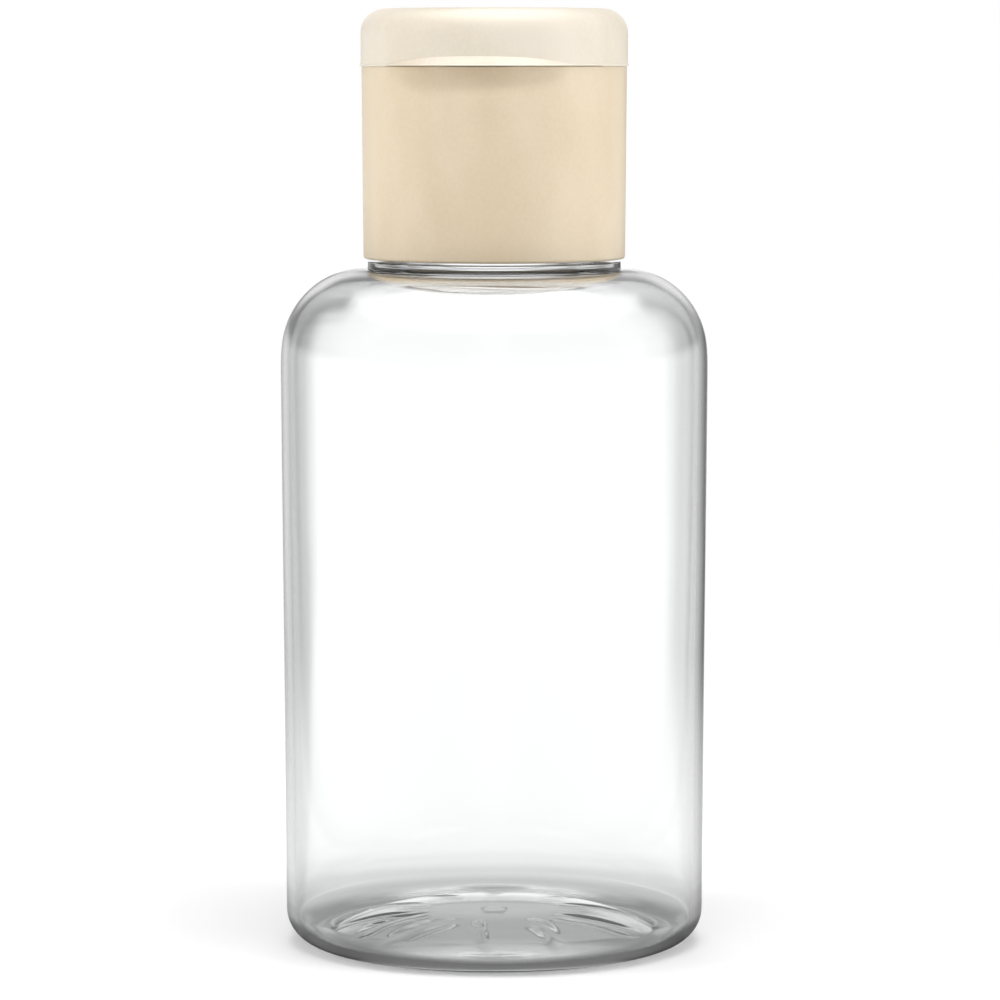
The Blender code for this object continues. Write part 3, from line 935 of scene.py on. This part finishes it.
@dataclass
class ClosureBase:
    """The screw-on part of the closure: skirt, deck, locating ring and spout."""

    radius: float
    skirt_bottom: float
    spout_top: float
    deck: float
    thread_top: float
    land_y: float
    land_bottom: float
    segments: int = 288
    bore: float = 0.0123
    taper: float = 0.00015
    deck_thickness: float = 0.00125
    rim: float = 0.00008
    ring_radius: float = 0.01145
    ring_wall: float = 0.0009
    ring_height: float = 0.001
    spout_radius: float = 0.003
    spout_bore: float = 0.0022
    spout_round: float = 0.0006
    spout_root: float = 0.00025
    tip_thickness: float = 0.0009
    orifice: float = 0.0016
    chamfer: float = 0.0001
    ring_foot: float = 0.0002
    ring_rounds: Point = (0.00015, 0.00025)
    skirt_round: float = 0.0003
    lead_in: float = 0.0007
    thread_drop: float = 0.00125
    thread_crest: float = 0.01116
    thread_widths: Point = (0.0011, 0.0005)
    thread_turns: float = 1.25
    thread_run: Point = (0.0058, 0.0012)
    land_height: float = 0.007
    recess: tuple[float, float, float] = (0.0215, 0.0036, 0.00125)
    recess_band: Point = (0.00003, 0.0042)
    piece: Piece = Piece("closure_skirt_and_deck", (Body.CLOSURE,), Slot.CREAM, ("closure_base",))

    @classmethod
    def measured(cls) -> ClosureBase:
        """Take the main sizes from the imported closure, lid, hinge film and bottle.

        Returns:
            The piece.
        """
        low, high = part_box("closure_base")
        land_y, parting = hinge_place()
        return cls(
            radius=high.x,
            skirt_bottom=low.z,
            spout_top=high.z,
            deck=2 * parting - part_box("lid")[0].z,
            thread_top=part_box("bottle")[1].z - Bottle.thread_depth - cls.thread_drop,
            land_y=land_y,
            land_bottom=parting - cls.land_height,
        )

    def thread(self) -> Thread:
        """Return the thread inside the skirt."""
        return Thread(self.thread_crest, *self.thread_widths, self.thread_turns, self.thread_top)

    def contour(self) -> Contour:
        """Draw the section: spout, deck, rim, skirt, and back up inside.

        Returns:
            The section.
        """
        underside = self.deck - self.deck_thickness
        tip_underside = self.spout_top - self.tip_thickness
        ring_top = self.deck + self.ring_height
        ring_bore = self.ring_radius - self.ring_wall
        bottom = self.skirt_bottom
        chain = Contour(self.orifice, self.spout_top - self.chamfer)
        chain.line(self.orifice + self.chamfer, self.spout_top)
        chain.corner(self.spout_radius, self.spout_top, self.spout_round, 90, 0, 8)
        chain.corner(self.spout_radius, self.deck, -self.spout_root, 0, 90, 4, pitch=0.001)
        chain.line(ring_bore - self.ring_foot, self.deck, 0.001)
        chain.line(ring_bore, self.deck + self.ring_foot)
        chain.line(ring_bore, ring_top - self.chamfer)
        chain.corner(ring_bore, ring_top, self.ring_rounds[0], 180, 90, 3)
        chain.corner(self.ring_radius, ring_top, self.ring_rounds[1], 90, 0, 5)
        chain.line(self.ring_radius, self.deck)
        chain.corner(self.radius, self.deck, self.rim, 90, 0, 4, pitch=0.0002)
        chain.line(self.radius - self.recess_band[0], self.deck - self.recess_band[1], 0.00015)
        chain.corner(self.radius - self.taper, bottom, self.skirt_round, 0, -90, 5, pitch=0.002)
        chain.line(self.bore + self.skirt_round, bottom)
        chain.line(self.bore, bottom + self.lead_in)
        chain.line(self.bore, self.thread_top - self.thread_run[0], 0.001)
        chain.line(self.bore, self.thread_top + self.thread_run[1], 0.0001)
        chain.line(self.bore, underside, 0.0005)
        chain.line(self.spout_bore, underside, 0.001)
        chain.line(self.spout_bore, tip_underside, 0.001)
        chain.line(self.orifice, tip_underside)
        chain.line(self.orifice, self.spout_top - 2 * self.chamfer, 0.0002)
        return chain

    def shaped(self, radius: float, angle: float, z: float) -> Point:
        """Give a vertex the inner thread and the thumb recess.

        Args:
            radius: The vertex's radius.
            angle: Its direction around the axis.
            z: Its height.

        Returns:
            Its new radius and height.
        """
        if abs(radius - self.bore) < TOUCHING and z < self.deck - self.deck_thickness - self.chamfer:
            return self.thread().radius_at(radius, angle, z), z
        width, height, depth = self.recess
        across = turn_from(FRONT, angle) * self.radius / (width / 2)
        up = (z - self.deck) / height
        reach = 1.0 - across * across - up * up
        if reach <= 0.0 or radius < self.ring_radius + self.ring_foot:
            return radius, z
        share = ease((radius - self.ring_radius) / (self.radius - self.ring_radius - self.rim))
        return radius - depth * share * reach**1.6, z

    def build(self, material: bpy.types.Material) -> None:
        """Turn the closure base, cut its hinge land and dress it.

        Args:
            material: Its finish.
        """
        shell = self.contour().turned(self.segments, closed=True)
        reshape(shell, self.shaped)

        def outside(middle: Vector) -> bool:
            """Say whether a face lies where the hinge land is cut."""
            return middle.z > self.land_bottom and middle.y > 0.0

        flatten(shell, self.land_y, outside, self.land_bottom)
        self.piece.place(shell, material)


@dataclass
class Lid:
    """The hinged lid: a hollow cap with a thumb lip, a sealing pin and a flat back."""

    radius: float
    bottom: float
    top: float
    land_y: float
    segments: int = 288
    wall: float = 0.0011
    roof: float = 0.0013
    corner: float = 0.0026
    edge: float = 0.00006
    fillet: float = 0.0008
    dense_band: float = 0.0012
    pin_radius: float = 0.00125
    pin_taper: float = 0.0002
    pin_drop: float = 0.00265
    pin_tip: Point = (0.0006, 0.0004)
    pin_root: float = 0.0003
    flare: Point = (0.00026, 0.00013)
    closing: float = 0.00025
    lip: tuple[float, float, float] = (0.0225, 0.00098, 0.00074)
    piece: Piece = Piece("lid_cap", (Body.LID,), Slot.CREAM, ("lid",))

    @classmethod
    def measured(cls) -> Lid:
        """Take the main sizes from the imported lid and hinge."""
        low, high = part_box("lid")
        return cls(radius=high.x, bottom=low.z - cls.closing, top=high.z, land_y=hinge_place()[0])

    def contour(self) -> Contour:
        """Draw the section from the middle of the roof, down outside and up inside.

        Returns:
            The section.
        """
        bore = self.radius - self.wall
        ceiling = self.top - self.roof
        tip = ceiling - self.pin_drop
        chain = Contour(0.0, self.top)
        chain.corner(self.radius, self.top, self.corner, 90, 0, 20, pitch=0.0015)
        chain.line(self.radius, self.bottom + self.dense_band, 0.0005)
        chain.corner(self.radius, self.bottom, self.edge, 0, -90, 6, pitch=0.00004)
        chain.line(bore, self.bottom, 0.0005)
        chain.corner(bore, ceiling, self.fillet, 0, 90, 6, pitch=0.0006)
        chain.corner(self.pin_radius + 2 * self.pin_root, ceiling, self.pin_root, 90, 0, 4, pitch=0.001)
        chain.line(self.pin_radius - self.pin_taper, tip + self.pin_tip[1], 0.0006)
        chain.line(self.pin_radius - self.pin_tip[0], tip)
        chain.line(0.0, tip)
        return chain

    def shaped(self, radius: float, angle: float, z: float) -> Point:
        """Give a vertex the sloping thumb lip and the fine flare of the lower edge.

        Args:
            radius: The vertex's radius.
            angle: Its direction around the axis.
            z: Its height.

        Returns:
            Its new radius and height.
        """
        if radius < self.radius - self.edge * 1.1:
            return radius, z
        width, height, depth = self.lip
        across = turn_from(FRONT, angle) * self.radius / (width / 2)
        reach = max(1.0 - abs(across) ** 2.6, 0.0)
        above = z - self.bottom
        ledge = depth * reach - above * depth / height
        flare = self.flare[1] - above * self.flare[1] / self.flare[0]
        return radius + max(ledge, flare, 0.0), z

    def build(self, material: bpy.types.Material) -> None:
        """Turn the lid, flatten its back inside and outside, and dress it.

        Args:
            material: Its finish.
        """
        shell = self.contour().turned(self.segments)
        reshape(shell, self.shaped)
        bore = self.radius - self.wall
        inner_y = self.land_y - self.wall
        margin = 0.00001

        def inside(middle: Vector) -> bool:
            """Say whether a face belongs to the hollow's back wall.

            Args:
                middle: The face's middle.

            Returns:
                True on the wall.
            """
            within = hypot(middle.x, middle.y) < bore + margin
            between = self.bottom + margin < middle.z < self.top - self.roof + 10 * margin
            return within and between and middle.y > 0.0

        flatten(shell, inner_y, inside, self.bottom)
        flatten(shell, self.land_y, lambda middle: middle.y > 0.0)
        self.piece.place(shell, material)


class Strip(Enum):
    """The three strips of the snap hinge."""

    LEFT_FILM = "hinge_film_left"
    RIGHT_FILM = "hinge_film_right"
    STRAP = "hinge_strap"


@dataclass
class Hinge:
    """The lid's living hinge: two thin films and a bowed strap that bend as it opens."""

    land_y: float
    parting: float
    rows: int = 32
    seat: float = 0.00006
    film_middle: float = 0.0003
    film_end: float = 0.00055
    strap_thickness: float = 0.00055
    bow: float = 0.00055
    toe: float = 0.00005
    edge: float = 0.00008
    film_fold: float = 0.6
    film_foot: Point = (0.68, 0.32)
    strap_end: Point = (0.72, 0.2)
    strap_foot: Point = (0.7, 0.3)

    @classmethod
    def measured(cls) -> Hinge:
        """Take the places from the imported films."""
        land_y, parting = hinge_place()
        return cls(land_y=land_y, parting=parting)

    def strip(self, low: Vector, high: Vector, outline: Callable[[float], Point]) -> Shell:
        """Shape one strip from a box.

        Args:
            low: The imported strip's lowest corner.
            high: Its highest corner.
            outline: Gives the inner and outer y at a share from -1 at the foot to 1 at the top.

        Returns:
            The strip's shell.
        """
        shell = bmesh.new()
        bmesh.ops.create_cube(shell, size=2.0)
        uprights = [edge for edge in shell.edges if abs(edge.verts[0].co.z - edge.verts[1].co.z) > 1.0]
        bmesh.ops.subdivide_edges(shell, edges=uprights, cuts=self.rows, use_grid_fill=True)
        middle = (low + high) / 2
        for vertex in shell.verts:
            x, y, z = vertex.co
            inner, outer = outline(z)
            vertex.co = (
                middle.x + x * (high.x - low.x) / 2,
                outer if y > 0.0 else inner,
                middle.z + z * (high.z - low.z) / 2,
            )
        steep = radians(60)
        raised = [edge for edge in shell.edges if min(end.co.y for end in edge.verts) > self.land_y]
        corners = [edge for edge in raised if edge.calc_face_angle(0.0) > steep]
        bmesh.ops.bevel(
            shell, geom=corners, offset=self.edge, offset_type="OFFSET", segments=2, profile=0.5,
            affect="EDGES", material=-1, clamp_overlap=True,
        )
        bmesh.ops.remove_doubles(shell, verts=shell.verts, dist=MERGE_DISTANCE)
        bmesh.ops.recalc_face_normals(shell, faces=shell.faces)
        return shell

    def run_out(self, rise: float, share: float, foot: Point) -> float:
        """Return a strip's height over the land, let down to its toe along the foot."""
        start, length = foot
        return rise + (self.toe - rise) * ease((abs(share) - start) / length)

    def film_outline(self, share: float) -> Point:
        """Return a film's inner and outer y: thin at the fold and thicker at both ends.

        Args:
            share: The place along the strip, from -1 to 1.

        Returns:
            The inner and the outer y.
        """
        thicker = ease(abs(share) / self.film_fold)
        rise = self.film_middle + (self.film_end - self.film_middle) * thicker
        return self.land_y - self.seat, self.land_y + self.run_out(rise, share, self.film_foot)

    def strap_outline(self, share: float) -> Point:
        """Return the strap's inner and outer y: bowed off the lands between its ends.

        Args:
            share: The place along the strip, from -1 to 1.

        Returns:
            The inner and the outer y.
        """
        lift = self.bow * (1.0 - share * share)
        start, length = self.strap_end
        end = ease((abs(share) - start) / length)
        outer = self.run_out(lift + self.strap_thickness, share, self.strap_foot)
        return self.land_y + lift * (1.0 - end) - self.seat * end, self.land_y + outer

    def build(self, material: bpy.types.Material) -> None:
        """Shape the three strips and place them between the closure and the lid.

        Args:
            material: Its finish.
        """
        for strip in Strip:
            low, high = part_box(strip.value)
            outline = self.strap_outline if strip is Strip.STRAP else self.film_outline
            shell = self.strip(low, high, outline)
            reach = Vector((0.0, 0.0, (high.z - low.z) / 2))
            middle = Vector(((low.x + high.x) / 2, (low.y + high.y) / 2, self.parting))
            bend = (middle - reach, middle + reach)
            piece = Piece(f"{strip.value}_web", (Body.CLOSURE, Body.LID), Slot.CREAM, (strip.value,))
            piece.place(shell, material, bend)


@dataclass(frozen=True)
class Panel:
    """A soft lamp, with its direction in degrees, 0 in front and 90 at +X, and its power in watts."""

    name: str
    azimuth: float
    elevation: float
    width: float
    height: float
    power: float

    def hang(self, middle: Vector, distance: float) -> None:
        """Hang the lamp so that it faces a point.

        Args:
            middle: The point that it faces.
            distance: How far from the point it hangs.
        """
        around, above = radians(self.azimuth), radians(self.elevation)
        flat = cos(above)
        way = Vector((sin(around) * flat, -cos(around) * flat, sin(above)))
        light = bpy.data.lights.new(self.name, "AREA")
        light.shape = "RECTANGLE"
        light.size = self.width
        light.size_y = self.height
        light.energy = self.power
        lamp = add_object(self.name, light)
        lamp.location = middle + way * distance
        lamp.rotation_euler = way.to_track_quat("Z", "Y").to_euler()
        lamp.visible_glossy = False
        lamp.visible_transmission = False


@dataclass
class Studio:
    """The pale floor, the white surroundings, the lamps and the camera."""

    middle: Vector
    floor_radius: float = 3.0
    floor_drop: float = 0.00003
    level: float = 0.4
    reach: float = 0.0226
    around: tuple[Point, ...] = (
        (-180, 0.98), (-150, 0.72), (-115, 0.8), (-80, 1.12), (-58, 1.18), (-42, 1.0), (-34, 0.64),
        (-27, 0.44), (-20, 0.26), (-16, 0.17), (-13, 0.2), (-9, 0.55), (-5, 1.04), (-3.5, 1.1),
        (4, 1.1), (6, 1.04), (9.5, 0.53), (13, 0.48), (19, 0.78), (25, 0.72), (32, 0.57), (38, 0.45),
        (44, 0.54), (52, 0.82), (64, 1.08), (80, 1.12), (115, 0.8), (150, 0.72), (180, 0.98),
    )
    above: tuple[Point, ...] = (
        (-180, 0.5), (-90, 0.5), (-60, 0.34), (-14, 0.42), (-5.2, 0.46), (-4, 1.12), (4, 1.12),
        (5.2, 0.26), (30, 0.26), (45, 0.12), (85, 0.12), (120, 0.5), (180, 0.5),
    )
    # Painted contact shadow: how dark the floor glows to gloss and glass rays, by distance from the axis
    # in millimetres.
    painted_contact_shadow: tuple[Point, ...] = (
        (0, 0.4), (17, 0.4), (19.5, 0.16), (22.5, 0.18), (30, 0.5), (40, 0.69), (48, 0.87), (58, 0.98),
        (68, 1.0),
    )
    painted_shadow_reach: float = 70.0
    side_fall: tuple[float, ...] = (0.02, 0.28, 1.12, 0.37)
    patch_turn: tuple[Point, Point] = ((4.0, 5.5), (14.0, 24.0))
    patch_height: tuple[Point, Point] = ((0.04, 0.16), (0.25, 0.35))
    patch_level: float = 0.88
    horizon: Point = (-0.02, 0.08)
    ceiling_start: Point = (0.6, 0.75)
    ceiling_rise: tuple[float, ...] = (0.78, 0.93, 1.1, 4.6)
    panel_rise: tuple[float, ...] = (0.07, 0.26, 0.48, 1.0)
    glow_rise: tuple[float, ...] = (0.08, 0.32, 0.2, 1.0)
    floor_color: Color = (0.93, 0.93, 0.93)
    lamp_distance: float = 0.9
    camera_azimuth: float = 8.0
    camera_distance: float = 0.48033
    camera_height: float = 0.09335
    camera_side: float = 0.000608
    camera_tilt: float = 5.491
    camera_lens: float = 163.16
    camera_clip: Point = (0.01, 20.0)
    sensor_width: float = 36.0
    lamps: tuple[Panel, ...] = (
        Panel("left_softbox", -68.0, 14.0, 0.4, 0.8, 5.2),
        Panel("right_softbox", 74.0, 14.0, 0.4, 0.8, 4.9),
        Panel("top_softbox", 20.0, 76.0, 0.6, 0.6, 5.0),
        Panel("back_softbox", 190.0, 22.0, 0.5, 0.8, 3.0),
    )

    @staticmethod
    def levels(graph: Graph, place: Wire, reach: float, stops: Sequence[Point]) -> Wire:
        """Return the level at a place on a line, eased between stops.

        Args:
            graph: The tree to add to.
            place: Where on the line, from -reach to reach.
            reach: How far the line runs to both sides.
            stops: The (place, level) pairs, which are kept finest near the line's middle.

        Returns:
            The level.
        """
        bent = [0.5 + copysign(sqrt(abs(at) / reach), at) / 2 for at, _ in stops]
        ramp = [(at, (level, level, level)) for at, (_, level) in zip(bent, stops)]
        size = graph.math("SQRT", graph.math("ABSOLUTE", place) / reach)
        share = 0.5 + 0.5 * size * graph.math("SIGN", place)
        node = graph.node("ShaderNodeValToRGB", {"stops": ramp}, {"Fac": share})
        node.color_ramp.interpolation = "EASE"
        return graph.wire(node)

    def turn(self, graph: Graph, x: Wire, y: Wire, reach: float = 0.0) -> Wire:
        """Return the direction of a place in degrees, 0 straight behind and positive to the left.

        Args:
            graph: The tree to add to.
            x: The place's x.
            y: The place's y.
            reach: How far from the axis the light that gets there starts.

        Returns:
            The direction.
        """
        degrees = HALF_TURN / pi
        angle = graph.math("ARCTAN2", 0.0 - x, y) * degrees - self.camera_azimuth
        angle = graph.math("WRAP", angle, HALF_TURN, -HALF_TURN)
        if not reach:
            return angle
        near = graph.math("MINIMUM", reach / graph.length(x, y), 1.0)
        size = graph.math("ABSOLUTE", angle) - graph.math("ARCSINE", near) * degrees
        return graph.math("MAXIMUM", size, 0.0) * graph.math("SIGN", angle)

    @staticmethod
    def seen(graph: Graph) -> tuple[Wire, Wire]:
        """Return whether a ray comes from the camera, and whether from gloss or glass.

        Args:
            graph: The graph to read the ray in.

        Returns:
            Both as 0 or 1.
        """
        path = graph.node("ShaderNodeLightPath")
        camera = graph.wire(path, "Is Camera Ray")
        gloss = graph.wire(path, "Is Glossy Ray")
        return camera, graph.math("MAXIMUM", gloss, graph.wire(path, "Is Transmission Ray"))

    def light_world(self) -> None:
        """Make the surroundings: white to the camera, panels to gloss, and a plain level."""
        world = bpy.data.worlds.new("studio")
        bpy.context.scene.world = world
        world.use_nodes = True
        graph = Graph(world.node_tree)
        x, y, z = graph.axes(graph.place(source="Generated"))
        camera, bright = self.seen(graph)
        turn = self.turn(graph, x, y)
        panels = self.levels(graph, turn, HALF_TURN, self.around)
        sides = self.levels(graph, turn, HALF_TURN, self.above)
        sides = graph.math("MINIMUM", sides, graph.steps(z, *self.side_fall))
        patch = graph.window(graph.math("ABSOLUTE", turn), *self.patch_turn)
        patch = patch * graph.window(z, *self.patch_height)
        sides = sides + patch * (self.patch_level - sides)
        shown = panels + graph.steps(z, *self.horizon) * (sides - panels)
        ceiling = graph.steps(z, *self.ceiling_rise)
        shown = shown + graph.steps(z, *self.ceiling_start) * (ceiling - shown)
        level = self.level + bright * (shown - self.level)
        level = level + camera * (1.0 - level)
        values = {"Color": (1.0, 1.0, 1.0, 1.0), "Strength": level}
        graph.output("ShaderNodeOutputWorld", Surface=graph.node("ShaderNodeBackground", None, values))

    def lay_floor(self) -> None:
        """Lay a pale floor that keeps the object's shadow to the camera. To gloss and glass rays it glows
        with the panels' painted light and a painted contact shadow round the object.
        """
        material, graph = new_graph("floor_white")
        x, y, _ = graph.axes(graph.place())
        distance = graph.length(x, y)
        camera, bright = self.seen(graph)
        # To gloss and glass rays the floor glows with the studio panels' pattern of light and dark:
        # painted light, not a lamp.
        panels = self.levels(graph, self.turn(graph, x, y, self.reach), HALF_TURN, self.around)
        # Painted contact shadow: the floor's glow to gloss and glass rays darkens near the object.
        shade = self.levels(graph, distance * 1000.0, self.painted_shadow_reach, self.painted_contact_shadow)
        panels = 1.0 + graph.steps(distance, *self.panel_rise) * (panels - 1.0)
        glow = 1.0 + bright * (panels * shade - 1.0)
        share = graph.math("MAXIMUM", camera * graph.steps(distance, *self.glow_rise), bright)
        diffuse = graph.node("ShaderNodeBsdfDiffuse", None, {"Color": (*self.floor_color, 1.0)})
        values = {"Color": (1.0, 1.0, 1.0, 1.0), "Strength": glow}
        emission = graph.node("ShaderNodeEmission", None, values)
        values = {"Fac": share, "Shader#0": graph.wire(diffuse), "Shader#1": graph.wire(emission)}
        graph.output(Surface=graph.node("ShaderNodeMixShader", None, values))
        shell = bmesh.new()
        bmesh.ops.create_circle(shell, cap_ends=True, segments=96, radius=self.floor_radius)
        floor = add_object("floor", make_mesh("floor", shell, material))
        floor.location.z = -self.floor_drop
        floor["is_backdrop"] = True

    def set_camera(self) -> None:
        """Put the camera where the photograph was taken from."""
        around = radians(self.camera_azimuth)
        right = Vector((cos(around), sin(around), 0.0))
        back = Vector((sin(around), -cos(around), 0.0))
        lens = bpy.data.cameras.new("camera")
        lens.sensor_width = self.sensor_width
        lens.lens = self.camera_lens
        lens.clip_start, lens.clip_end = self.camera_clip
        camera = add_object("camera", lens)
        camera.location = back * self.camera_distance + right * self.camera_side
        camera.location.z = self.camera_height
        camera.rotation_euler = Euler((radians(90.0 - self.camera_tilt), 0.0, around))
        bpy.context.scene.camera = camera

    def build(self) -> None:
        """Set up the surroundings, the floor, the lamps and the camera."""
        bpy.context.scene.view_settings.view_transform = "Standard"
        self.light_world()
        self.lay_floor()
        for lamp in self.lamps:
            lamp.hang(self.middle, self.lamp_distance)
        self.set_camera()


def main() -> None:
    """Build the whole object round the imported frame."""
    logging.basicConfig(level=logging.INFO, format="%(message)s")
    for stray in list(bpy.data.objects):
        bpy.data.objects.remove(stray, do_unlink=True)
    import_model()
    cad_low, cad_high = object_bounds()
    Studio(middle=(cad_low + cad_high) / 2).build()

    Bottle.measured().build(ClearPet())
    Liner.measured().build(FoamLiner())
    cream = CreamPolypropylene().material()
    # The lid takes a paler copy of the cream: partly a lighter moulding, partly painted light for the
    # brighter, top-lit lid.
    lid_cream_with_painted_light = CreamPolypropylene(
        name="lid_cream_polypropylene_with_painted_light", deep=(0.650, 0.574, 0.460), pale=(0.720, 0.657, 0.562)
    )
    ClosureBase.measured().build(cream)
    Lid.measured().build(lid_cream_with_painted_light.material())
    Hinge.measured().build(cream)


if __name__ == "__main__":
    main()
